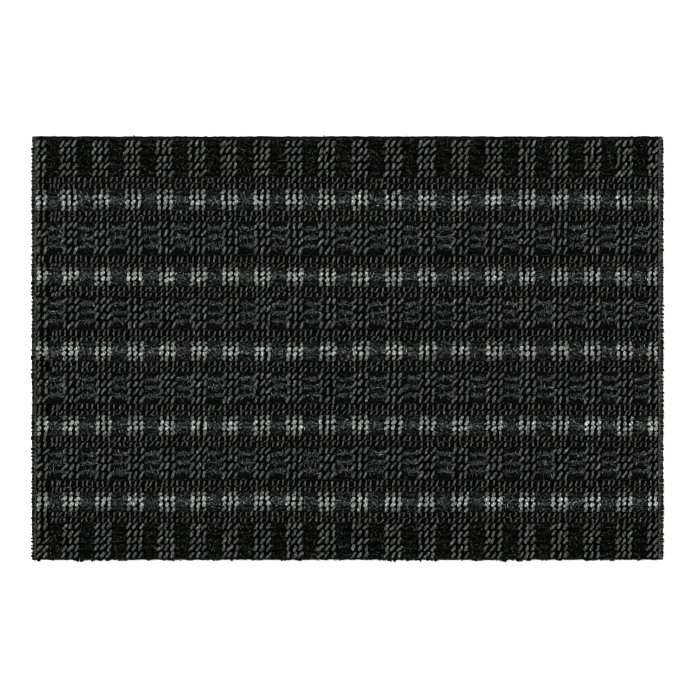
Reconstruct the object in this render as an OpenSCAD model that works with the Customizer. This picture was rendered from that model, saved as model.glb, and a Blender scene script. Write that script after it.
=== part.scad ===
// Woven door mat on a rubber backing sheet.
// The mat lies in XY with its flat underside on z = 0, +X along its long side and +Y towards its rear edge.
// Each row of the cloth has a filler yarn that runs the whole width, and a pattern yarn that floats over it.

/* [Mat outline] */
// Width of the mat, along X
mat_w = 600; // [500:10:700]
// Bare margin behind the rearmost row
rear_margin = 3; // [2.5:0.5:5]
// Bare margin in front of the frontmost row
front_margin = 1.6; // [1.5:0.1:3]
// Radius of the backing sheet's corners
corner_r = 2; // [1:0.5:4]

/* [Layers] */
// Thickness of the rubber backing sheet
backing_t = 1.6; // [1.2:0.1:3]
// Thickness of the bond coat between rubber and cloth
bond_t = 0.2; // [0.1:0.05:0.4]
// Diameter of a ground weft shot
shot_d = 0.5; // [0.4:0.05:0.7]
// Diameter of a stuffer warp yarn
stuffer_d = 0.6; // [0.4:0.05:0.8]
// Diameter of a chain warp yarn
chain_d = 0.4; // [0.3:0.05:0.5]
// Height of a flattened filler yarn
filler_t = 2; // [1.5:0.1:2.5]

/* [Columns] */
// Number of stitch columns across the width
columns = 116; // [98:6:134]
// Distance between the three fat stitch columns of a group
fat_pitch = 5.9; // [5.4:0.1:6]

/* [Rows] */
// Row pitch of the rear end band
rear_end_pitch = 7.1; // [6.5:0.1:7.5]
// Row pitch of the front end band
front_end_pitch = 6.8; // [6.5:0.1:7.5]
// Row pitch of the light bands
light_pitch = 5; // [4.5:0.1:5.5]
// Row pitch of the mid bands
mid_pitch = 7.4; // [7:0.1:8]
// Row pitch of the binding rows
binding_pitch = 5.5; // [5:0.1:6]
// Gap between the filler yarns of neighbouring rows
row_gap = 0.4; // [0.2:0.1:0.8]

/* [Stitches] */
// Diameter of a fat pattern stitch
fat_d = 2.1; // [1.8:0.1:2.4]
// Diameter of a thin binding stitch
thin_d = 1.4; // [1.2:0.1:1.6]
// Lean of a fat stitch from the length of the mat, in degrees
fat_lean = 27; // [0:1:35]
// Lean of a thin stitch, in degrees
thin_lean = 8; // [0:1:15]
// Share of its row pitch that a stitch covers
stitch_share = 0.84; // [0.7:0.01:0.9]

/* [Edges] */
// Diameter of a selvedge cord or an end pick
edge_yarn_d = 1.2; // [1:0.1:1.3]
// Number of selvedge cords on each side
selvedge_cords = 3; // [2:1:3]

/* [Hidden] */
// Bands from the rear edge to the front edge
REPEAT = ["light", "binding", "mid", "binding"];
BANDS = concat(["rear_end", "binding"], [for (i = [1:4]) each REPEAT], ["light", "binding", "front_end"]);
LIGHT_BANDS = 5;
MID_BANDS = 4;
BINDING_BANDS = 10;
END_BANDS = ["rear_end", "front_end"];

function rows_in(kind) = kind == "binding" ? 2 : (kind == "light" || kind == "mid") ? 4 : 5;
function pitch_of(kind) =
  kind == "rear_end" ? rear_end_pitch :
  kind == "front_end" ? front_end_pitch :
  kind == "light" ? light_pitch :
  kind == "mid" ? mid_pitch : binding_pitch;
function depth_of(kind) = rows_in(kind) * pitch_of(kind);
function depth_before(i) = i == 0 ? 0 : depth_of(BANDS[i - 1]) + depth_before(i - 1);

mat_l = rear_margin + depth_before(len(BANDS)) + front_margin;

// Index in BANDS of the nth band of a kind, and the Y of the centre of one of its rows
function band_index(kind, n) = [for (i = [0:len(BANDS) - 1]) if (BANDS[i] == kind) i][n - 1];
function row_y(kind, n, row) =
  mat_l / 2 - rear_margin - depth_before(band_index(kind, n)) - (row + 0.5) * pitch_of(kind);

// Layer heights
cloth_z = backing_t + bond_t;
stuffer_z = cloth_z + shot_d;
filler_z = stuffer_z + stuffer_d;
stitch_z = filler_z + filler_t;

// Columns: three of every six carry fat stitches, the middle one at the centre of its group
column_pitch = mat_w / columns;
group_pitch = 6 * column_pitch;
edge_inset = 0.5;
selvedge_w = selvedge_cords * (edge_yarn_d + 0.1) + edge_inset;
clear_x = mat_w / 2 - selvedge_w - fat_d;
function column_x(i) = (i + 0.5) * column_pitch - mat_w / 2;
FAT_X = [
  for (k = [0:floor(columns / 6)], side = [-1, 0, 1])
    let (x = column_x(0) + k * group_pitch + side * fat_pitch)
    if (abs(x) < clear_x) x
];
THIN_X = [for (i = [0:columns - 1]) if (abs(column_x(i)) < clear_x) column_x(i)];

ALL_ROWS = [
  for (i = [0:len(BANDS) - 1], row = [0:rows_in(BANDS[i]) - 1])
    mat_l / 2 - rear_margin - depth_before(i) - (row + 0.5) * pitch_of(BANDS[i])
];

module yarn_along_x(d, length) rotate([0, 90, 0]) cylinder(d = d, h = length, center = true, $fn = 24);
module yarn_along_y(d, length) rotate([90, 0, 0]) cylinder(d = d, h = length, center = true, $fn = 24);

module sheet(thickness, inset) {
  w = mat_w - 2 * inset;
  l = mat_l - 2 * inset;
  linear_extrude(height = thickness) {
    square([w - 2 * corner_r, l], center = true);
    square([w, l - 2 * corner_r], center = true);
    for (x = [-1, 1], y = [-1, 1])
      translate([x * (w / 2 - corner_r), y * (l / 2 - corner_r)]) circle(r = corner_r, $fn = 32);
  }
}

module rubber_backing() color("#141414") sheet(backing_t, 0);

module bond_coat() color("#2a2a28") translate([0, 0, backing_t]) sheet(bond_t, edge_inset);

// Two shots for each row
module ground_weft()
  color("#1c1c1c")
    for (y = ALL_ROWS, side = [-1, 1])
      translate([0, y + side * binding_pitch / 4, cloth_z + shot_d / 2])
        yarn_along_x(shot_d, mat_w - 2 * edge_inset);

// One yarn under each column
module stuffer_warp()
  color("#202020")
    for (i = [0:columns - 1])
      translate([column_x(i), 0, stuffer_z + stuffer_d / 2]) yarn_along_y(stuffer_d, mat_l - 2 * edge_inset);

// One yarn between each two columns
module chain_warp()
  color("#2c2c2c")
    for (i = [1:columns - 1])
      translate([column_x(i) - column_pitch / 2, 0, stuffer_z + stuffer_d / 2])
        yarn_along_y(chain_d, mat_l - 2 * edge_inset);

// The flattened yarns that run the whole width, one for each row of a band
module filler_rows(kind, n, tint) {
  bar_w = mat_w - 2 * edge_inset;
  bar_l = pitch_of(kind) - row_gap;
  color(tint)
    for (row = [0:rows_in(kind) - 1])
      translate([-bar_w / 2, row_y(kind, n, row) - bar_l / 2, filler_z]) cube([bar_w, bar_l, filler_t]);
}

// Stitches that float over the filler yarns of the given rows
module stitches(kind, n, rows, xs, d, lean, tint)
  color(tint)
    for (row = rows, x = xs)
      translate([x, row_y(kind, n, row), stitch_z + d / 2])
        rotate([0, 0, -lean]) yarn_along_y(d, stitch_share * pitch_of(kind));

module fat_stitches(kind, n, rows, tint) stitches(kind, n, rows, FAT_X, fat_d, fat_lean, tint);
module thin_stitches(n) stitches("binding", n, [0, 1], THIN_X, thin_d, thin_lean, "#5a5a58");

module end_black_yarn(end) filler_rows(end, 1, "#161616");
module end_grey_yarn(end) fat_stitches(end, 1, [0:rows_in(end) - 1], "#6a6a68");

module light_green_yarn(n) filler_rows("light", n, "#38403c");
module light_grey_yarn(n) fat_stitches("light", n, [0, rows_in("light") - 1], "#757773");
module light_white_yarn(n) fat_stitches("light", n, [1, rows_in("light") - 2], "#b4bab4");

module mid_green_yarn(n) filler_rows("mid", n, "#2a322e");
module mid_grey_yarn(n) fat_stitches("mid", n, [0:rows_in("mid") - 1], "#626462");

module binding_black_yarn(n) filler_rows("binding", n, "#121212");
module binding_grey_yarn(n) thin_stitches(n);

module selvedge(side)
  color("#4a4c4a")
    for (i = [0:selvedge_cords - 1])
      translate([
        side * (mat_w / 2 - edge_inset - edge_yarn_d / 2 - i * (edge_yarn_d + 0.1)), 0, stitch_z + edge_yarn_d / 2
      ])
        yarn_along_y(edge_yarn_d, mat_l - 2 * edge_inset);

module end_pick(y)
  color("#1a1a1a")
    translate([0, y, filler_z + edge_yarn_d / 2]) yarn_along_x(edge_yarn_d, mat_w - 2 * edge_inset);

module rear_end_picks() {
  end_pick(mat_l / 2 - rear_margin / 4);
  end_pick(mat_l / 2 - rear_margin * 3 / 4);
}

module front_end_picks() end_pick(-mat_l / 2 + front_margin / 2);

rubber_backing();
bond_coat();
ground_weft();
stuffer_warp();
chain_warp();
for (end = END_BANDS) {
  end_black_yarn(end);
  end_grey_yarn(end);
}
for (n = [1:LIGHT_BANDS]) {
  light_green_yarn(n);
  light_grey_yarn(n);
  light_white_yarn(n);
}
for (n = [1:MID_BANDS]) {
  mid_green_yarn(n);
  mid_grey_yarn(n);
}
for (n = [1:BINDING_BANDS]) {
  binding_black_yarn(n);
  binding_grey_yarn(n);
}
selvedge(-1);  // left_selvedge
selvedge(1);  // right_selvedge
rear_end_picks();
front_end_picks();
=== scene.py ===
"""A woven door mat on a rubber backing sheet, laid flat on a pale floor and seen straight from above.

The frame gives every place: bands, rows, columns and layer heights come from the CAD nodes' boxes. Each
yarn that shows is a real tube, made with NumPy, and every CAD yarn node is replaced by the piece of the
same yarn. Lengths are in millimetres until a mesh is made.
"""

import bpy
import numpy as np
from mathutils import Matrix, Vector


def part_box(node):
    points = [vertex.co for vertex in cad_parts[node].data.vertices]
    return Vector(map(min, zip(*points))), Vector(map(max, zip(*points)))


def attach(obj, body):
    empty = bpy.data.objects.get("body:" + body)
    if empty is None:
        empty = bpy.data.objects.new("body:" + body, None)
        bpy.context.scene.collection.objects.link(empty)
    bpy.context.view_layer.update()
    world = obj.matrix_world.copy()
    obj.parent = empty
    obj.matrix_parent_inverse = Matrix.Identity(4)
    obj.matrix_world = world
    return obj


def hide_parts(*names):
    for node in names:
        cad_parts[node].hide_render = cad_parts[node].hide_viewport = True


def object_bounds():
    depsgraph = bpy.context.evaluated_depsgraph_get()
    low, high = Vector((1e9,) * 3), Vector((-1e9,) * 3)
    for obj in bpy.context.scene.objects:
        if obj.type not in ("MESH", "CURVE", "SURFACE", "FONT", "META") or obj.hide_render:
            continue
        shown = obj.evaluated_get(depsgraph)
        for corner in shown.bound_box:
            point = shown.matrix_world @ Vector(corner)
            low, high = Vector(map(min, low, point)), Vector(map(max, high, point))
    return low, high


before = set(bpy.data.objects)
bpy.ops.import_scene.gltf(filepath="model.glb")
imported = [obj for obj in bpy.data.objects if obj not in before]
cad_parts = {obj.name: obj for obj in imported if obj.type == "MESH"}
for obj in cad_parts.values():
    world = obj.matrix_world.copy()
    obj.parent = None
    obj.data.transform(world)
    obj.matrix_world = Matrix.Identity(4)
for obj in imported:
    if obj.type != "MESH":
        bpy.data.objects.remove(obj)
cad_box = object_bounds()

MM = 0.001
TAU = 2 * np.pi
BODY = "root"
UP = np.array([0.0, 0.0, 1.0])


# ---------------------------------------------------------------- layout, from the CAD nodes

def node_box(node):
    """A CAD node's lowest and highest corners, in millimetres."""
    low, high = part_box(node)
    return np.array(low) / MM, np.array(high) / MM


HALF_W, HALF_L, TOP_Z = np.array(cad_box[1]) / MM
BACKING_Z = node_box("rubber_backing")[1][2]
CLOTH_Z = node_box("bond_coat")[1][2]
FILLER_LOW_Z = node_box("mid_band_1_green_yarn")[0][2]
FILLER_TOP_Z = node_box("mid_band_1_green_yarn")[1][2]

COLUMNS = 116
COLUMN_PITCH = 2 * HALF_W / COLUMNS

# Three fat stitch columns to a group, and six thin columns from one group to the next
GROUPS = 20
GROUP_PITCH = 6 * COLUMN_PITCH
FAT_PITCH = 5.9
GROUP_X = COLUMN_PITCH / 2 - HALF_W + GROUP_PITCH * np.arange(GROUPS)

# Whole columns keep inside CLEAR_X, and one more stands at OUTER_X, right beside the left selvedge. Each
# selvedge half hides one at EDGE_STITCH_X
CLEAR_X = HALF_W - 5.8
OUTER_X = 4.5 - HALF_W
EDGE_STITCH_X = HALF_W - 2.6


def placed(xs):
    """Columns where the cloth has them: those beside the left selvedge stand a little further in."""
    return xs + 3.9 * np.exp(-(((xs + HALF_W - 13) / 7.5) ** 2))


FAT_X = (GROUP_X[:, None] + FAT_PITCH * np.array([-1, 0, 1])).ravel()
FAT_X = placed(np.append(FAT_X[np.abs(FAT_X) < CLEAR_X], OUTER_X))
THIN_X = COLUMN_PITCH * (np.arange(COLUMNS) + 0.5) - HALF_W
THIN_X = placed(np.append(THIN_X[np.abs(THIN_X) < CLEAR_X], OUTER_X))

# The middle of each gap between two groups, and the gap's width
GAP_X = placed(GROUP_X[:-1] + GROUP_PITCH / 2)
GAP_W = GROUP_PITCH - 3 * FAT_PITCH

ROWS_IN = {"rear_end": 5, "front_end": 5, "light_band": 4, "mid_band": 4, "binding_rows": 2}
COUNT_OF = {"light_band": 5, "mid_band": 4, "binding_rows": 10}
WHITE_ROWS = (1, 2)


def filler_node(name):
    """The CAD node of a band's filler yarn."""
    return name + ("_green_yarn" if name.startswith(("light", "mid")) else "_black_yarn")


class Band:
    """One band of rows, with the pitch of its rows and the Y of each."""

    def __init__(self, name, kind, gap):
        low, high = node_box(filler_node(name))
        rows = ROWS_IN[kind]
        self.name = name
        self.kind = kind
        self.pitch = (high[1] - low[1] + gap) / rows
        self.rear_y = high[1] + gap / 2
        self.row_y = self.rear_y - (np.arange(rows) + 0.5) * self.pitch
        self.front_y = self.rear_y - rows * self.pitch


ROW_GAP = node_box("rear_end_black_yarn")[0][1] - node_box("binding_rows_1_black_yarn")[1][1]
BANDS = [Band(end, end, ROW_GAP) for end in ("rear_end", "front_end")]
for kind, count in COUNT_OF.items():
    BANDS += [Band(f"{kind}_{n}", kind, ROW_GAP) for n in range(1, count + 1)]
ALL_ROWS = np.concatenate([band.row_y for band in BANDS])
ALL_PITCH = np.concatenate([np.full(len(band.row_y), band.pitch) for band in BANDS])

# Where rows are beaten out of line: the Y of each such place, its reach either way, and the shift in Y
ROW_SHIFTS = (
    (85.7, 6, -3.2),
    (14.1, 6, -2.1),
    (-38, 16, 0.5),
    (-57.5, 6, -1.2),
    (-72, 22, 0.8),
    (-108, 16, 0.6),
    (-129, 6, -1.8),
)


def drift(points):
    """The small wander of a woven cloth: columns bow and lean, rows wave, and the edges stay straight."""
    x, y = points[..., 0], points[..., 1]
    hold_x = 1 - np.clip(np.abs(x) / HALF_W, 0, 1) ** 24
    hold_y = 1 - np.clip(np.abs(y) / HALF_L, 0, 1) ** 24
    sway = 0.5 + 1.7 * np.cos(TAU * (x + 265) / 450) + 0.5 * np.sin(TAU * (y + 60) / 310 + x / 140)
    bow = 1.8 * np.clip((-60 - x) / 140, 0, 1) * np.cos(TAU * (y + 60) / 520)
    lean = 0.5 * np.clip((-200 - x) / 60, 0, 1) + 0.6 * np.clip((x - 100) / 80, 0, 1)
    creep = 0.4 * np.cos(TAU * (y - 112) / 71.6) - 0.8 * np.exp(-(((y - 76) / 28) ** 2)) - 1.0
    creep = creep + 0.7 * np.clip((y - 135) / 20, 0, 1) - 0.5 * np.clip((y - 160) / 15, 0, 1)
    for place, reach, shift in ROW_SHIFTS:
        creep = creep + shift * np.exp(-(((y - place) / reach) ** 2))
    out = points.copy()
    out[..., 0] += hold_x * sway
    out[..., 0] += hold_x * (bow + lean)
    out[..., 1] += hold_y * (creep + 0.35 * np.sin(x / 31 + y / 17) + 0.3 * np.sin(x / 74 - y / 50))
    return out


# ---------------------------------------------------------------- yarn meshes

def unit(v):
    """Vectors scaled to length 1."""
    return v / np.maximum(np.linalg.norm(v, axis=-1, keepdims=True), 1e-9)


class Yarns:
    """Closed tubes for one mesh. Each point keeps a tone, and a place along and round its yarn."""

    def __init__(self):
        self.points = []
        self.quads = []
        self.caps = []
        self.tones = []
        self.places = []
        self.count = 0

    def add(self, rng, paths, across, up, sides, tone, side=None, straight=False, flank=0.6):
        """Tubes along paths (tubes, rings, 3). across and up are half the section's width and height.

        The flanks, where neighbouring yarns press together, are darkened as painted shade. The last argument
        is the share of the tone they lose, and the top keeps all of it.
        """
        tubes, rings, _ = paths.shape
        shape = (tubes, rings)
        across, up, tone = (np.broadcast_to(v, shape)[..., None, None] for v in (across, up, tone))
        if not straight:
            paths = drift(paths)
        tangent = unit(np.gradient(paths, axis=1))
        if side is None:
            sideways = unit(np.cross(tangent, UP))
        else:
            sideways = np.broadcast_to(side[:, None], paths.shape)
        upward = unit(np.cross(sideways, tangent))
        angle = (TAU * np.arange(sides) / sides)[:, None]
        ring = across * np.cos(angle) * sideways[:, :, None] + up * np.sin(angle) * upward[:, :, None]
        self.points.append((paths[:, :, None] + ring).reshape(-1, 3))

        # painted shade: each tube's top keeps its tone and its sides are painted darker
        lit = 1 - flank * (1 - np.clip(np.sin(angle[:, 0]), 0, 1))
        self.tones.append((np.broadcast_to(tone[..., 0], (tubes, rings, sides)) * lit).ravel())
        length = np.cumsum(np.linalg.norm(np.diff(paths, axis=1, prepend=paths[:, :1]), axis=2), axis=1)
        place = np.empty((tubes, rings, sides, 3))
        place[..., 0] = length[..., None] + rng.uniform(0, 500, tubes)[:, None, None]
        place[..., 1] = np.cos(angle[:, 0]) + rng.uniform(0, 90, tubes)[:, None, None]
        place[..., 2] = np.sin(angle[:, 0])
        self.places.append(place.reshape(-1, 3))

        first = self.count + (np.arange(tubes) * rings * sides)[:, None]
        row = first[..., None] + (np.arange(rings - 1) * sides)[:, None]
        here = row + np.arange(sides)
        there = row + (np.arange(sides) + 1) % sides
        self.quads.append(np.stack([here, here + sides, there + sides, there], axis=-1).reshape(-1, 4))
        start = first + np.arange(sides)
        self.caps += [start, start[:, ::-1] + (rings - 1) * sides]
        self.count += tubes * rings * sides

    def build(self, name, material, slot, node):
        """The piece, riding on the mat and standing for the CAD node."""
        mesh = bpy.data.meshes.new(name)
        points = np.concatenate(self.points) * MM
        quads = np.concatenate(self.quads)
        cap_sizes = [np.full(len(cap), cap.shape[1]) for cap in self.caps]
        loops = np.concatenate([quads.ravel(), *(cap.ravel() for cap in self.caps)])
        sizes = np.concatenate([np.full(len(quads), 4), *cap_sizes])
        fill_mesh(mesh, points, loops, sizes)
        mesh.attributes.new("tone", "FLOAT", "POINT").data.foreach_set("value", np.concatenate(self.tones))
        place = mesh.attributes.new("place", "FLOAT_VECTOR", "POINT")
        place.data.foreach_set("vector", np.concatenate(self.places).ravel())
        return add_piece(name, mesh, material, node)


def fill_mesh(mesh, points, loops, sizes):
    """Smooth polygons: loops names their corners one after another, and sizes counts the corners of each."""
    mesh.vertices.add(len(points))
    mesh.vertices.foreach_set("co", points.ravel())
    mesh.loops.add(len(loops))
    mesh.loops.foreach_set("vertex_index", loops.astype(np.int32))
    mesh.polygons.add(len(sizes))
    starts = np.concatenate([[0], np.cumsum(sizes)[:-1]])
    mesh.polygons.foreach_set("loop_start", starts.astype(np.int32))
    mesh.polygons.foreach_set("use_smooth", np.ones(len(sizes), bool))
    mesh.update(calc_edges=True)
    mesh.validate()


def add_piece(name, mesh, material, node):
    """A named piece of the mat that stands for one CAD node."""
    piece = bpy.data.objects.new(name, mesh)
    bpy.context.scene.collection.objects.link(piece)
    mesh.materials.append(material)
    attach(piece, BODY)
    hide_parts(node)
    return piece


def waves(rng, tubes, t, lengths):
    """Smooth noise of about unit size along t, one row for each tube."""
    total = np.zeros((tubes, np.shape(t)[-1]))
    for length in lengths:
        total += np.sin(TAU * t / length + rng.uniform(0, TAU, (tubes, 1)))
    return total / np.sqrt(len(lengths))


def speckle(rng, tubes, t, lengths, strength):
    """Uneven tone along a yarn, with a mean of about 1: broad light and dark stretches, and ring by ring."""
    broad = waves(rng, tubes, t, lengths)
    fine = rng.normal(size=broad.shape).clip(-2, 2)
    return np.exp(strength * (0.75 * broad + 0.75 * fine) - strength**2 / 2)


# ---------------------------------------------------------------- materials

def yarn_material(name, color, other, sheen, relief, spread=0.45, ior=1.2):
    """Spun yarn: fibre streaks along each yarn, slow patches over the cloth, and a drift between two hues."""
    material = bpy.data.materials.new(name)
    material.use_nodes = True
    tree = material.node_tree
    tree.nodes.clear()
    new, link = tree.nodes.new, tree.links.new

    def node(kind, **values):
        """A new node with these settings and inputs. An underscore stands for a space in an input."""
        made = new(kind)
        for key, value in values.items():
            if hasattr(made, key):
                setattr(made, key, value)
            else:
                made.inputs[key.replace("_", " ")].default_value = value
        return made

    def scaled(source, low, high):
        """Noise, which keeps mostly between 0.25 and 0.75, spread from low to high."""
        made = node("ShaderNodeMapRange", From_Min=0.25, From_Max=0.75, To_Min=low, To_Max=high)
        link(source, made.inputs["Value"])
        return made.outputs["Result"]

    def times(a, b):
        made = node("ShaderNodeMath", operation="MULTIPLY")
        link(a, made.inputs[0])
        link(b, made.inputs[1])
        return made.outputs["Value"]

    tone = node("ShaderNodeAttribute", attribute_name="tone")
    place = node("ShaderNodeAttribute", attribute_name="place")
    where = node("ShaderNodeTexCoord")
    along = node("ShaderNodeMapping", Scale=(0.45, 3.6, 3.6))
    link(place.outputs["Vector"], along.inputs["Vector"])
    fibres = node("ShaderNodeTexNoise", Scale=1.8, Detail=5.0, Roughness=0.7)
    link(along.outputs["Vector"], fibres.inputs["Vector"])
    patches = node("ShaderNodeTexNoise", Scale=55.0, Detail=2.0, Roughness=0.5)
    link(where.outputs["Object"], patches.inputs["Vector"])
    hues = node("ShaderNodeTexNoise", Scale=110.0, Detail=1.0, Roughness=0.5)
    link(where.outputs["Object"], hues.inputs["Vector"])

    hue = node("ShaderNodeMix", data_type="RGBA")
    mix_a, mix_b = [socket for socket in hue.inputs if socket.type == "RGBA"]
    mix_a.default_value = (*color, 1)
    mix_b.default_value = (*other, 1)
    link(scaled(hues.outputs["Fac"], 0, 1), hue.inputs[0])

    streaks = scaled(fibres.outputs["Fac"], 1 - spread, 1 + spread)
    value = times(times(tone.outputs["Fac"], streaks), scaled(patches.outputs["Fac"], 0.85, 1.15))
    shade = node("ShaderNodeHueSaturation")
    link([socket for socket in hue.outputs if socket.type == "RGBA"][0], shade.inputs["Color"])
    link(value, shade.inputs["Value"])

    bump = node("ShaderNodeBump", Strength=relief, Distance=0.3 * MM)
    link(fibres.outputs["Fac"], bump.inputs["Height"])
    shader = node("ShaderNodeBsdfPrincipled")
    shader.inputs["Sheen Weight"].default_value = sheen
    shader.inputs["Sheen Roughness"].default_value = 0.5
    shader.inputs["Specular IOR Level"].default_value = 0.1
    shader.inputs["IOR"].default_value = ior
    link(shade.outputs["Color"], shader.inputs["Base Color"])
    link(scaled(fibres.outputs["Fac"], 0.72, 0.95), shader.inputs["Roughness"])
    link(bump.outputs["Normal"], shader.inputs["Normal"])
    out = node("ShaderNodeOutputMaterial")
    link(shader.outputs["BSDF"], out.inputs["Surface"])
    return material


def rubber_material(name, color, dusty, roughness):
    """Matt moulded rubber with a fine grain and dusty patches."""
    material = bpy.data.materials.new(name)
    material.use_nodes = True
    tree = material.node_tree
    link = tree.links.new
    shader = tree.nodes["Principled BSDF"]
    where = tree.nodes.new("ShaderNodeTexCoord")
    grain = tree.nodes.new("ShaderNodeTexNoise")
    grain.inputs["Scale"].default_value = 900
    grain.inputs["Detail"].default_value = 3
    dust = tree.nodes.new("ShaderNodeTexNoise")
    dust.inputs["Scale"].default_value = 14
    dust.inputs["Detail"].default_value = 5
    link(where.outputs["Object"], grain.inputs["Vector"])
    link(where.outputs["Object"], dust.inputs["Vector"])
    ramp = tree.nodes.new("ShaderNodeValToRGB")
    stops = ramp.color_ramp.elements
    stops[0].position = 0.35
    stops[0].color = (*color, 1)
    stops[1].position = 0.75
    stops[1].color = (*dusty, 1)
    link(dust.outputs["Fac"], ramp.inputs["Fac"])
    link(ramp.outputs["Color"], shader.inputs["Base Color"])
    rough = tree.nodes.new("ShaderNodeMapRange")
    rough.inputs["To Min"].default_value = roughness - 0.12
    rough.inputs["To Max"].default_value = roughness + 0.1
    link(grain.outputs["Fac"], rough.inputs["Value"])
    link(rough.outputs["Result"], shader.inputs["Roughness"])
    bump = tree.nodes.new("ShaderNodeBump")
    bump.inputs["Strength"].default_value = 0.35
    bump.inputs["Distance"].default_value = 0.1 * MM
    link(grain.outputs["Fac"], bump.inputs["Height"])
    link(bump.outputs["Normal"], shader.inputs["Normal"])
    shader.inputs["Specular IOR Level"].default_value = 0.35
    return material


# Each yarn drifts between two linear colours. A low ior keeps the soft light off its dark hollows
GREY = yarn_material(
    "grey_yarn", (0.088, 0.088, 0.087), (0.078, 0.082, 0.079), sheen=0.03, relief=0.9, spread=0.7, ior=1.12,
)
WHITE = yarn_material(
    "white_yarn", (0.262, 0.285, 0.268), (0.235, 0.27, 0.258), sheen=0.03, relief=0.9, spread=0.35,
)
GREEN = yarn_material(
    "green_grey_yarn", (0.070, 0.074, 0.070), (0.052, 0.068, 0.062),
    sheen=0.02, relief=0.8, spread=0.5, ior=1.08,
)
BLACK = yarn_material(
    "black_yarn", (0.0044, 0.0043, 0.0039), (0.0037, 0.0044, 0.0040), sheen=0.0, relief=0.8, ior=1.08,
)
BINDING = yarn_material(
    "binding_yarn", (0.066, 0.066, 0.063), (0.058, 0.060, 0.058), sheen=0.03, relief=0.8, ior=1.12,
)
SELVEDGE = yarn_material(
    "selvedge_yarn", (0.056, 0.056, 0.053), (0.047, 0.048, 0.046), sheen=0.03, relief=0.8,
)
GROUND = yarn_material(
    "ground_yarn", (0.0050, 0.0050, 0.0050), (0.0040, 0.0040, 0.0040), sheen=0.0, relief=0.5, ior=1.1,
)
RUBBER = rubber_material("black_rubber", (0.0090, 0.0090, 0.0090), (0.021, 0.021, 0.020), roughness=0.72)
BOND = rubber_material("latex_bond", (0.010, 0.010, 0.009), (0.016, 0.016, 0.015), roughness=0.6)


# ---------------------------------------------------------------- stitches and filler

# A stitch's plies, the sides of each ply's mesh, and how far its ends dive below its middle
PLIES = 3
PLY_SIDES = 6
STITCH_DIVE = 2.9

# Stitches wider than this have a loose fibre
FRAY_WIDTH = 2.5

# Tufts start no nearer than this to the rear and front edges
TUFT_CLEAR = 2.5

# A curl's half thickness, how far it gets along the yarn in one turn, and the rings of mesh in a turn
CURL_THICK = 0.38
CURL_ADVANCE = 1.95
CURL_RINGS = 8


def floats(
    yarns, rng, xs, y, pitch, lean, width, tone, cover=0.98, rings=8, top=TOP_Z, thick=2.0, uneven=0.6,
):
    """Plied stitches at (xs, y), one for each x, that come up, lean to one side and dive at both ends.

    cover is the share of the row's pitch that a stitch spans, and uneven the strength of its speckle.
    """
    count = len(xs)

    def vary(amount):
        return rng.normal(0, 1, (count, 1)).clip(-2, 2) * amount

    s = np.linspace(-1, 1, rings)[None]
    lean = np.radians(lean + vary(9.0))
    length = pitch * cover * (1 + vary(0.06)) / np.cos(lean) ** 0.7
    taper = 0.42 + 0.58 * np.sqrt(1 - np.abs(s) ** 4)
    wide = width * (1 + vary(0.11)) / 2
    ahead = s * length / 2
    bend = vary(0.3) * (1 - s**2) + vary(0.35) * s * (1 - s**2)
    lift = top - thick / 2 - STITCH_DIVE * np.abs(s) ** 4.5 - np.abs(vary(0.25))
    centre_x = np.asarray(xs)[:, None] + vary(0.3)
    centre_y = y + vary(0.3)
    side = np.stack([np.cos(lean), -np.sin(lean), np.zeros_like(lean)], axis=-1)[:, 0]
    turn = rng.uniform(0, TAU, (count, 1))
    twist = 2.3 + vary(0.4)
    tone = tone * (1 + vary(0.15))
    for ply in range(PLIES):
        phase = turn + TAU * ply / PLIES + twist * s
        off = bend + 0.48 * wide * taper * np.cos(phase)
        ply_x = centre_x + ahead * np.sin(lean) + off * np.cos(lean)
        ply_y = centre_y + ahead * np.cos(lean) - off * np.sin(lean)
        ply_z = lift + 0.24 * thick * np.sin(phase)
        mottle = speckle(rng, count, length * s / 2, (1.7, 2.6), uneven)
        # painted shade: the ends, which dive down between the rows, are painted darker, on top of each ply's
        # own random speckle
        shade = tone * (1 + vary(0.12)) * (1.05 - 0.75 * np.abs(s) ** 4) * mottle
        across = 0.52 * wide * taper * (1 + 0.08 * rng.normal(size=(count, rings)))
        up = 0.27 * thick * (1 - 0.3 * np.abs(s) ** 3) * np.ones((count, 1))
        path = np.stack([ply_x, ply_y, ply_z], axis=-1)
        yarns.add(rng, path, across, up, PLY_SIDES, shade, side=side, flank=0.85)
    if width > FRAY_WIDTH:
        fibre_tone = np.mean(tone) * 1.3
        hairs(yarns, rng, centre_x[:, 0], centre_y[:, 0], top - 0.25, fibre_tone, around=width)


def hairs(
    yarns, rng, xs, ys, z, tone, around, length=2.2, thin=0.07, rings=5, sides=3, flank=0.0, fan=TAU,
):
    """Loose fibres, one near each (xs, ys), that curl a little above the yarn.

    around is the width of the patch that each starts in, and fan the spread of the ways they head.
    """
    count = len(xs)

    def between(low, high):
        return rng.uniform(low, high, (count, 1))

    s = np.linspace(0, 1, rings)[None]
    heading = fan * between(-0.5, 0.5) + between(-2.2, 2.2) * s
    step = length * between(0.4, 1.3) / (rings - 1)
    start_x = xs[:, None] + between(-0.5, 0.5) * around
    start_y = ys[:, None] + between(-0.5, 0.5) * around
    x = start_x + np.cumsum(step * np.cos(heading), axis=1)
    y = start_y + np.cumsum(step * np.sin(heading), axis=1)
    arch = z + between(-0.5, 0.15) + between(0.0, 0.5) * np.sin(np.pi * s)
    thick = thin * (1 - 0.6 * np.abs(2 * s - 1) ** 3)
    shade = tone * between(0.5, 1.5)
    yarns.add(rng, np.stack([x, y, arch], axis=-1), thick, thick, sides, shade, flank=flank)


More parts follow.
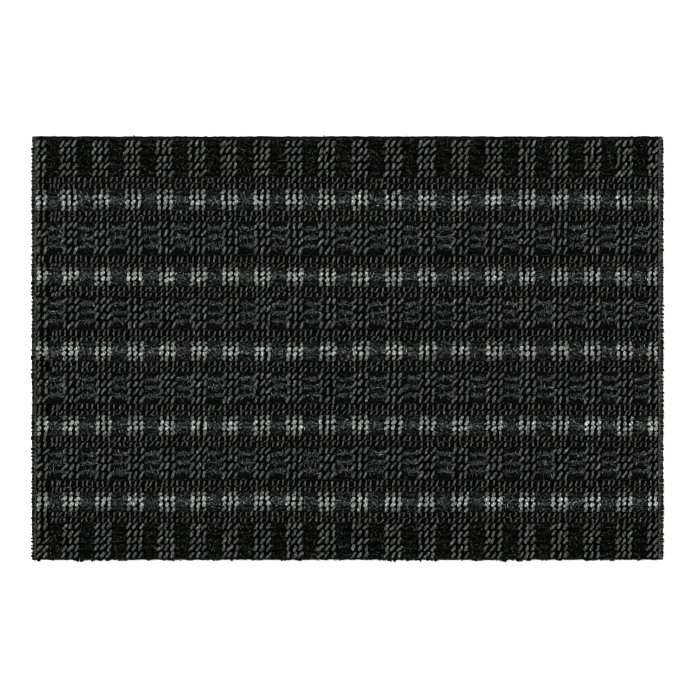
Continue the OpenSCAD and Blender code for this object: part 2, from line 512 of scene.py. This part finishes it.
def matted(yarns, rng, y, reach, z, tone, each, contrast=1.1, fan=TAU):
    """Short crimped tufts that stray about reach from the line y, each of them in every gap."""
    count = len(GAP_X) * each
    xs = (GAP_X[:, None] + rng.uniform(-0.5, 0.5, (len(GAP_X), each)) * (GAP_W + 1.0)).ravel()
    ys = (y + reach * rng.normal(size=count).clip(-1.9, 1.9)).clip(TUFT_CLEAR - HALF_L, HALF_L - TUFT_CLEAR)
    shade = tone * np.exp(contrast * rng.normal(size=(count, 1)) - contrast**2 / 2).clip(0.05, 4.5)
    hairs(
        yarns, rng, xs, ys, z, shade,
        around=0, length=2.7, thin=0.32, rings=4, sides=4, flank=0.6, fan=fan,
    )


def curls(yarns, rng, y, z, tone, radius=1.0, depth=1.1, xs=GAP_X, width=GAP_W):
    """Curly filler yarn that lies along a row in each gap between two stitch groups, and dives under both.

    radius is the size of its curls, and depth the strength of its speckle.
    """
    count = len(xs)
    long = width + 2.2
    rings = int(long / CURL_ADVANCE * CURL_RINGS)
    t = np.linspace(0, long, rings)[None]
    hand = rng.choice([-1, 1], (count, 1))
    angle = hand * TAU * t / CURL_ADVANCE + rng.uniform(0, TAU, (count, 1))
    size = radius * np.exp(0.4 * waves(rng, count, t, (2.7, 4.9)))
    curl_x = np.asarray(xs)[:, None] - long / 2 + t + 0.7 * waves(rng, count, t, (4.1, 6.3))
    curl_x = curl_x + size * np.cos(angle)
    curl_y = y + 0.6 * waves(rng, count, t, (3.7, 8.7)) + size * np.sin(angle)
    dive = np.clip(np.abs(2 * t / long - 1) * 1.35 - 0.35, 0, 1) ** 4
    height = np.sin(angle * 0.5 + rng.uniform(0, TAU, (count, 1)))
    # painted shade: upper loops are painted lighter and lower loops darker, on top of the yarn's own random
    # speckle
    shade = tone * (0.55 + 0.45 * height) * speckle(rng, count, t, (0.9, 1.7, 4.3), depth)
    paths = np.stack([curl_x, curl_y, z + 0.45 * height - 1.8 * dive], axis=-1)
    thick = CURL_THICK * (1 + 0.2 * waves(rng, count, t, (1.3, 2.9)))
    yarns.add(rng, paths, thick, thick * 0.9, sides=4, tone=shade.clip(0, 4.5 * tone))


def row_body(yarns, rng, y, pitch, tone):
    """The flattened body of a row's filler yarn, across the whole mat."""
    reach = HALF_W - 1.1
    x = np.linspace(-1, 1, 81)[None] * reach
    t = x + HALF_W
    half = (FILLER_TOP_Z - FILLER_LOW_Z) / 2
    z = FILLER_LOW_Z + half - 0.25 + 0.12 * waves(rng, 1, t, (9.3, 14.1))
    ends = 1 - 0.35 * (np.abs(x) / reach) ** 200
    path = np.stack([x, y + 0.15 * waves(rng, 1, t, (23, 41)), z], axis=-1)
    across = (pitch / 2 + 0.9) * ends * (1 + 0.03 * waves(rng, 1, t, (8.1, 11.7)))
    yarns.add(rng, path, across, half * ends, sides=8, tone=tone)


def border_weft(yarns, rng, y, tone):
    """The thin yarn at a row's border, which dips under the columns: there it is painted near black as
    painted shade, so it shows as a dim dot between each two columns.
    """
    x = np.linspace(-1, 1, COLUMNS * 6 + 1)[None] * (HALF_W - 2.5)
    turn = TAU * (x + HALF_W) / COLUMN_PITCH + 0.5 * waves(rng, 1, x, (21, 37))
    high = np.cos(turn) + 0.35 * waves(rng, 1, x, (9.7, 15.1))
    path = np.stack([x, y + 0.45 * waves(rng, 1, x, (7.3, 11.9)), FILLER_TOP_Z - 0.5 + 1.1 * high], axis=-1)
    # painted shade: the weft is painted near black where it dips under the columns, and only its crests keep
    # their tone
    shade = tone * np.clip(2.8 * high - 1.8, 0.0, 1.2) * speckle(rng, 1, x, (3.3, 7.9, 11.3), 0.6)
    yarns.add(rng, path, across=0.6, up=0.45, sides=4, tone=shade)


# ---------------------------------------------------------------- bands


def add_face(yarns, band, piece, material, slot, node):
    """A band's finished piece, in place of the band's own CAD node of that yarn."""
    yarns.build(f"{band.name}_{piece}", material, slot, f"{band.name}_{node}")


def end_band(band, seed):
    """Grey stitches in every row, and black filler matted and curled between their groups."""
    rng = np.random.default_rng(seed)
    filler, grey = Yarns(), Yarns()
    for y in band.row_y:
        row_body(filler, rng, y, band.pitch, tone=0.35)
        curls(filler, rng, y, FILLER_TOP_Z + 0.1, tone=4.4)
        matted(filler, rng, y, 0.46 * band.pitch, FILLER_TOP_Z + 0.5, tone=6.4, each=26)
        floats(grey, rng, FAT_X, y, band.pitch, lean=30, width=3.05, tone=1.04)
    if band.name == "rear_end":
        border_weft(grey, rng, band.rear_y - 0.3, tone=0.35)
    add_face(filler, band, "black_filler", BLACK, "black_yarn", "black_yarn")
    add_face(grey, band, "grey_stitches", GREY, "grey_yarn", "grey_yarn")


def light_band(band, seed):
    """White stitches in the two middle rows, grey ones in the outer two, and green-grey filler."""
    rng = np.random.default_rng(seed)
    filler, grey, white = Yarns(), Yarns(), Yarns()
    for row, y in enumerate(band.row_y):
        # painted shade: the green-grey filler's body, deep between the stitches, is painted near black
        row_body(filler, rng, y, band.pitch, tone=0.03)
        if row in WHITE_ROWS:
            floats(white, rng, FAT_X, y, band.pitch, lean=32, width=3.85, tone=1.14, thick=2.2, uneven=0.45)
        else:
            floats(grey, rng, FAT_X, y, band.pitch, lean=22, width=3.4, tone=1.74, cover=1.02)

    # the filler is brightest in the middle of the band, between the white rows
    middle = band.row_y.mean()
    for place, tone in ((-6.8, 0.35), (-2.0, 1.1), (2.0, 1.1), (6.8, 0.35)):
        curls(filler, rng, middle + place, FILLER_TOP_Z + 0.4, tone)
    matted(filler, rng, middle, 2.4, FILLER_TOP_Z + 0.9, tone=1.45, each=70)
    for place in (-6.9, 6.9):
        matted(filler, rng, middle + place, 1.6, FILLER_TOP_Z + 0.5, tone=0.62, each=30)
    strays = 300
    xs = rng.uniform(-HALF_W + 12, HALF_W - 12, strays)
    ys = middle + rng.uniform(-4, 4, strays)
    hairs(filler, rng, xs, ys, FILLER_TOP_Z + 1.2, tone=1.2, around=1.0)
    add_face(filler, band, "green_filler", GREEN, "green_grey_yarn", "green_yarn")
    add_face(grey, band, "grey_stitches", GREY, "grey_yarn", "grey_yarn")
    add_face(white, band, "white_stitches", WHITE, "white_yarn", "white_yarn")


def mid_band(band, seed):
    """Grey stitches in every row, and green-grey filler curled along the borders between the rows."""
    rng = np.random.default_rng(seed)
    filler, grey = Yarns(), Yarns()
    for y in band.row_y:
        # painted shade: the green-grey filler's body, deep between the stitches, is painted near black
        row_body(filler, rng, y, band.pitch, tone=0.03)
        floats(grey, rng, FAT_X, y, band.pitch, lean=27, width=2.95, tone=1.01, cover=0.92)
    borders = (band.row_y[1:] + band.row_y[:-1]) / 2 + np.array([0.9, 0.2, -0.2])
    for border, tone in zip(borders, (1.0, 0.95, 0.9)):
        curls(filler, rng, border, FILLER_TOP_Z + 0.4, tone, radius=0.8, depth=0.8)
        height = FILLER_TOP_Z + 0.8
        matted(filler, rng, border, 0.9, height, 1.2 * tone, each=44, contrast=0.8, fan=2.4)
    for y in band.row_y:
        matted(filler, rng, y, 1.6, FILLER_TOP_Z + 0.4, tone=0.25, each=14)
    add_face(filler, band, "green_filler", GREEN, "green_grey_yarn", "green_yarn")
    add_face(grey, band, "grey_stitches", GREY, "grey_yarn", "grey_yarn")


def binding_rows(band, seed):
    """Two dark rows with one thin grey stitch a column, and a thin yarn at each border."""
    rng = np.random.default_rng(seed)
    ground, stitches = Yarns(), Yarns()
    for y in band.row_y:
        row_body(ground, rng, y, band.pitch, tone=0.3)
        floats(
            stitches, rng, THIN_X, y, band.pitch, lean=14, width=2.2, tone=1.04,
            rings=6, top=TOP_Z - 0.6, thick=1.4,
        )
    for y, tone in ((band.rear_y, 0.3), (band.row_y.mean(), 0.65), (band.front_y, 0.3)):
        border_weft(stitches, rng, y, tone)
    add_face(ground, band, "black_ground", BLACK, "black_yarn", "black_yarn")
    add_face(stitches, band, "thin_stitches", BINDING, "binding_yarn", "grey_yarn")


MAKERS = {
    "rear_end": end_band,
    "front_end": end_band,
    "light_band": light_band,
    "mid_band": mid_band,
    "binding_rows": binding_rows,
}
FIRST_BAND_SEED = 100
for seed, band in enumerate(BANDS, FIRST_BAND_SEED):
    MAKERS[band.kind](band, seed)


# ---------------------------------------------------------------- edges

# How far the middles of a selvedge's cords lie from the mat's side
SELVEDGE_INSETS = (1.5, 2.65, 3.8)


def cord_plies(yarns, rng, path, radius, tone, lay, uneven=0.3):
    """Two plies twisted round one path (rings, 3), with one turn for each lay of length."""
    length = np.cumsum(np.linalg.norm(np.diff(path, axis=0, prepend=path[:1]), axis=1))
    ahead = unit(np.gradient(path, axis=0))
    sideways = unit(np.cross(ahead, UP))
    upward = np.cross(sideways, ahead)
    wander = 3 * uneven * waves(rng, 1, length, (13.7, 22.1))[0]
    for ply in range(2):
        turn = (TAU * length / lay + np.pi * ply + wander)[:, None]
        twisted = path + 0.5 * radius * (np.cos(turn) * sideways + np.sin(turn) * upward)
        shade = tone * speckle(rng, 1, length, (2.3, 3.9, 11.7), uneven)
        yarns.add(rng, twisted[None], radius * 0.62, radius * 0.62, PLY_SIDES, shade, straight=True)


def selvedge(side, name, seed):
    """Three cords along one side, -1 or 1, the weft that turns round them, and a stitch in each row."""
    rng = np.random.default_rng(seed)
    yarns = Yarns()
    rings = int(2 * HALF_L / 1.1)
    y = np.linspace(-1, 1, rings) * (HALF_L - 1.2)
    cord_tone = 0.8 if side < 0 else 1.3
    for place in SELVEDGE_INSETS:
        x = side * (HALF_W - place + 0.25 * waves(rng, 1, y, (5.1, 9.0, 19.0))[0])
        z = TOP_Z - 1.5 + 0.3 * waves(rng, 1, y, (4.2, 6.2, 14.5))[0]
        path = np.stack([x, y, z], axis=-1)
        cord_plies(yarns, rng, path, radius=0.66, tone=cord_tone, lay=7.9, uneven=0.7)

    # each row's weft turns round the outer cord
    turns = len(ALL_ROWS)
    bow = np.linspace(-0.5, 1.15, 9)[None] * np.pi
    for place in (-0.22, 0.22):
        reach = 1.5 + rng.normal(0, 0.4, (turns, 1)).clip(-0.7, 0.9)
        turn_x = side * (HALF_W - 1.35 + reach * np.cos(bow - np.pi * 0.15) * 0.95)
        turn_y = (ALL_ROWS + place * ALL_PITCH)[:, None] + 0.25 * np.sin(bow)
        turn_y = turn_y + rng.normal(0, 0.35, (turns, 1))
        turn_z = (TOP_Z + FILLER_LOW_Z) / 2 - 0.3 + 1.75 * np.sin(bow - np.pi * 0.15) + 0 * reach
        thick = 0.8 * np.exp(rng.normal(0, 0.25, (turns, 1)))
        path = np.stack([turn_x, turn_y, turn_z], axis=-1)
        along_y = np.tile([0.0, 1.0, 0.0], (turns, 1))
        yarns.add(rng, path, thick, up=0.55, sides=6, tone=0.13, side=along_y, straight=True)

    # one half-hidden stitch in each pattern row
    for band in BANDS:
        if band.kind != "binding_rows":
            for row, row_y in enumerate(band.row_y):
                white = band.kind == "light_band" and row in WHITE_ROWS
                tone = 2.4 if white and side > 0 else 1.0
                edge_x = [side * EDGE_STITCH_X]
                floats(yarns, rng, edge_x, row_y, band.pitch, lean=20, width=2.0, tone=tone, top=TOP_Z - 0.7)
    yarns.build(name + "_cords", SELVEDGE, "selvedge_yarn", name)


selvedge(-1, "left_selvedge", 301)
selvedge(1, "right_selvedge", 302)


def end_picks(side, name, inset, ragged, seed):
    """Packed cords at one end, -1 or 1, inset from its edge, and the warp's cut ends beyond them."""
    rng = np.random.default_rng(seed)
    yarns = Yarns()
    rings = int(2 * HALF_W / 1.1)
    x = np.linspace(-1, 1, rings) * (HALF_W - 1.6)
    for place in inset:
        y = side * (HALF_L - place + 0.1 * waves(rng, 1, x, (9.1, 23.0))[0])
        z = FILLER_LOW_Z + 1.3 + 0.15 * waves(rng, 1, x, (5.2, 12.5))[0]
        cord_plies(yarns, rng, np.stack([x, y, z], axis=-1), radius=0.72, tone=1.7, lay=3.0)
        curls(
            yarns, rng, side * (HALF_L - place - 0.3), FILLER_LOW_Z + 2.0,
            tone=4.6, radius=0.8, xs=[0], width=2 * HALF_W - 6,
        )

    # cut ends of the warp, two for each column
    ends = 2 * COLUMNS - 1
    xs = (COLUMN_PITCH / 2 * np.arange(1, ends + 1) - HALF_W)[:, None] + rng.normal(0, 0.4, (ends, 1))
    s = np.linspace(0, 1, 7)[None]
    slow = 0.6 * waves(rng, 1, xs.T, (397, 97, 41)).T + 0.7 * waves(rng, 1, xs.T, (13, 21)).T
    reach = 2.85 + ragged * (slow + np.abs(rng.normal(0, 0.5, xs.shape))).clip(-0.7, 2.2)
    y = side * (HALF_L - 3.0 + reach * s)
    z = FILLER_LOW_Z + 0.9 + 0.8 * np.sin(np.pi * s) - 1.0 * s
    thin = 1.25 * (1 - 0.5 * s**5) * (1 + rng.normal(0, 0.2, xs.shape))
    path = np.stack([xs + 0.4 * s * rng.normal(size=xs.shape), y, z + 0 * y], axis=-1)
    yarns.add(rng, path, thin, thin * 0.45, sides=8, tone=0.4, straight=True)
    yarns.build(name + "_cords", BLACK, "black_yarn", name)


end_picks(1, "rear_end_picks", inset=(0.95, 2.3), ragged=0.4, seed=311)
end_picks(-1, "front_end_picks", inset=(1.15,), ragged=1.15, seed=312)


# ---------------------------------------------------------------- ground cloth and backing

# From one ground weft tape to the next
TAPE_PITCH = 3.05


def ground_cloth():
    """Flat weft tapes side by side, straight stuffer warp over them, and a chain warp that waves."""
    rng = np.random.default_rng(320)
    tapes = Yarns()
    reach = HALF_L - 0.5
    count = int(2 * reach / TAPE_PITCH)
    y = (np.arange(count) + 0.5) * 2 * reach / count - HALF_L + 0.5
    x = np.linspace(-1, 1, 31)[None] * (HALF_W - 0.6)
    shot_z = (CLOTH_Z + node_box("ground_weft")[1][2]) / 2
    z = shot_z + 0.05 * waves(rng, count, x, (31, 47))
    path = np.stack([x + 0 * y[:, None], y[:, None] + 0 * x, z], axis=-1)
    tapes.add(rng, path, across=1.42, up=0.2, sides=6, tone=1.0, straight=True)
    weft = tapes.build("ground_weft_tapes", GROUND, "ground_yarn", "ground_weft")

    stuffer, chain = Yarns(), Yarns()
    low, high = (corner[2] for corner in node_box("stuffer_warp"))
    middle_z = (low + high) / 2
    y = np.linspace(-1, 1, 9)[None] * (HALF_L - 0.6)
    xs = (COLUMN_PITCH * (np.arange(COLUMNS) + 0.5) - HALF_W)[:, None]
    xs = np.clip(xs, 1 - HALF_W, HALF_W - 1)
    path = np.stack([xs + 0 * y, y + 0 * xs, middle_z + 0 * xs + 0 * y], axis=-1)
    stuffer.add(rng, path, across=1.1, up=(high - low) / 2, sides=6, tone=1.2, straight=True)

    bends = 67
    y = np.linspace(-1, 1, bends)[None] * (HALF_L - 0.6)
    xs = (COLUMN_PITCH * np.arange(1, COLUMNS) - HALF_W)[:, None]
    by_column = np.where(np.arange(COLUMNS - 1) % 2, 1, -1)[:, None]
    wave = np.where(np.arange(bends) % 2, 1, -1)[None] * by_column
    path = np.stack([xs + 0 * y, y + 0 * xs, middle_z + 0.12 * wave], axis=-1)
    chain.add(rng, path, across=0.3, up=0.16, sides=4, tone=1.5, straight=True)
    stuffer.build("stuffer_warp_yarns", GROUND, "ground_yarn", "stuffer_warp")
    chain.build("chain_warp_yarns", GROUND, "ground_yarn", "chain_warp")
    return weft


# The grip pads: how many each way, the plain margin round them, how far they stand out, and the slope
# of their sides
PADS_X = 74
PADS_Y = 49
PAD_MARGIN = 5.0
PAD_HEIGHT = 0.7
PAD_INSET = 1.3

# The sheet's cut edge from its underside to its top: how far in from the outline, and the height
EDGE_PROFILE = (
    (0.35, 0.0),
    (0.1, 0.18),
    (0.0, 0.5),
    (0.0, BACKING_Z - 0.35),
    (0.25, BACKING_Z),
)


def backing_sheet():
    """The rubber sheet, with low square grip pads moulded into its underside inside a plain margin."""
    rng = np.random.default_rng(330)
    xs = np.linspace(PAD_MARGIN - HALF_W, HALF_W - PAD_MARGIN, PADS_X + 1)
    ys = np.linspace(PAD_MARGIN - HALF_L, HALF_L - PAD_MARGIN, PADS_Y + 1)
    grid_x, grid_y = np.meshgrid(xs, ys, indexing="ij")
    grid_z = np.full(grid_x.shape, PAD_HEIGHT)
    grid_z[[0, -1], :] = 0
    grid_z[:, [0, -1]] = 0
    grid = np.stack([grid_x, grid_y, grid_z], axis=-1).reshape(-1, 3)
    index = np.arange(len(grid)).reshape(grid_x.shape)
    outer = np.stack([index[:-1, :-1], index[1:, :-1], index[1:, 1:], index[:-1, 1:]], axis=-1)
    pad = grid[outer]
    pad[..., 0] += np.array([1, -1, -1, 1]) * PAD_INSET
    pad[..., 1] += np.array([1, 1, -1, -1]) * PAD_INSET
    pad[..., 2] = 0
    inner = len(grid) + np.arange(outer.size).reshape(outer.shape)
    faces = [inner[..., ::-1].reshape(-1, 4)]
    for k in range(4):
        n = (k + 1) % 4
        corners = [outer[..., k], inner[..., k], inner[..., n], outer[..., n]]
        faces.append(np.stack(corners, axis=-1).reshape(-1, 4))
    points = [grid, pad.reshape(-1, 3)]

    # the margin and the cut edge, ring by ring out from the pads
    around = np.concatenate([index[:, 0], index[-1, 1:], index[-2::-1, -1], index[0, -2:0:-1]])
    scale = np.array([HALF_W / (HALF_W - PAD_MARGIN), HALF_L / (HALF_L - PAD_MARGIN)])
    outline = grid[around, :2] * scale
    rough = 1 + 0.0006 * rng.normal(size=(len(around), 1)).clip(-2, 1)
    last = around
    total = len(grid) + pad.size // 3
    for back, z in EDGE_PROFILE:
        ring = outline * rough * (1 - back / HALF_W)
        points.append(np.column_stack([ring, np.full(len(ring), z)]))
        this = total + np.arange(len(ring))
        faces.append(np.stack([last, np.roll(last, -1), np.roll(this, -1), this], axis=-1))
        last = this
        total += len(ring)
    quads = np.concatenate(faces)
    loops = np.concatenate([quads.ravel(), last])
    sizes = np.concatenate([np.full(len(quads), 4), [len(last)]])
    mesh = bpy.data.meshes.new("rubber_sheet")
    fill_mesh(mesh, np.concatenate(points) * MM, loops, sizes)
    mesh.polygons.foreach_set("use_smooth", np.zeros(len(sizes), bool))
    return add_piece("rubber_sheet", mesh, RUBBER, "rubber_backing")


weft_tapes = ground_cloth()
rubber_sheet = backing_sheet()
bond_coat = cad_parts["bond_coat"]
bond_coat.data.materials.clear()
bond_coat.data.materials.append(BOND)


# ---------------------------------------------------------------- floor, light and camera

# The floor is open under the mat, so that light and camera reach the mat's underside from below
FLOOR_HALF = 3.0
OPENING_INSET = 4 * MM
OPENING = 1 - OPENING_INSET / (HALF_W * MM)
ring = [(-1, -1), (1, -1), (1, 1), (-1, 1)]
outer = [(x * FLOOR_HALF, y * FLOOR_HALF, 0) for x, y in ring]
inner = [(x * HALF_W * OPENING * MM, y * HALF_L * OPENING * MM, 0) for x, y in ring]
floor_mesh = bpy.data.meshes.new("floor")
floor_mesh.from_pydata(outer + inner, [], [(k, (k + 1) % 4, (k + 1) % 4 + 4, k + 4) for k in range(4)])
floor = bpy.data.objects.new("floor", floor_mesh)
floor.location.z = -0.3 * MM
floor_paint = bpy.data.materials.new("floor_paint")
floor_paint.use_nodes = True
paint = floor_paint.node_tree.nodes["Principled BSDF"].inputs
paint["Base Color"].default_value = (0.86, 0.86, 0.85, 1)
paint["Roughness"].default_value = 0.9
paint["Emission Color"].default_value = (1, 1, 1, 1)
paint["Emission Strength"].default_value = 0.3
floor_mesh.materials.append(floor_paint)
bpy.context.scene.collection.objects.link(floor)

world = bpy.data.worlds.new("soft_room")
world.use_nodes = True
background = world.node_tree.nodes["Background"].inputs
background["Color"].default_value = (1, 1, 1, 1)
background["Strength"].default_value = 0.5
bpy.context.scene.world = world

# One large soft lamp, behind and to the left, aimed at the middle of the mat
lamp = bpy.data.lights.new("overhead_light", "AREA")
lamp.shape = "SQUARE"
lamp.size = 0.9
lamp.energy = 80
lamp_holder = bpy.data.objects.new("overhead_light", lamp)
lamp_holder.location = (-0.5, 0.6, 2.6)
lamp_holder.rotation_euler = (-lamp_holder.location).to_track_quat("-Z", "Y").to_euler()
bpy.context.scene.collection.objects.link(lamp_holder)

# The mat fills this share of the picture's width, and lies a hair left of its centre
MAT_SHARE = 0.9078
CAMERA_X = 0.5 * MM
CAMERA_HEIGHT = 3.0
SENSOR = 36.0
camera_data = bpy.data.cameras.new("camera")
camera_data.sensor_width = SENSOR
camera_data.lens = SENSOR * (CAMERA_HEIGHT - TOP_Z * MM) * MAT_SHARE / (2 * HALF_W * MM)
camera_data.clip_end = 20
camera = bpy.data.objects.new("camera", camera_data)
camera.location = (CAMERA_X, 0, CAMERA_HEIGHT)
bpy.context.scene.collection.objects.link(camera)
bpy.context.scene.camera = camera

# A pixel's filter one pixel wide keeps single yarns crisp
bpy.context.scene.cycles.filter_width = 1.0

view_settings = bpy.context.scene.view_settings
view_settings.view_transform = "Standard"
view_settings.look = "None"
view_settings.exposure = 0
view_settings.gamma = 1
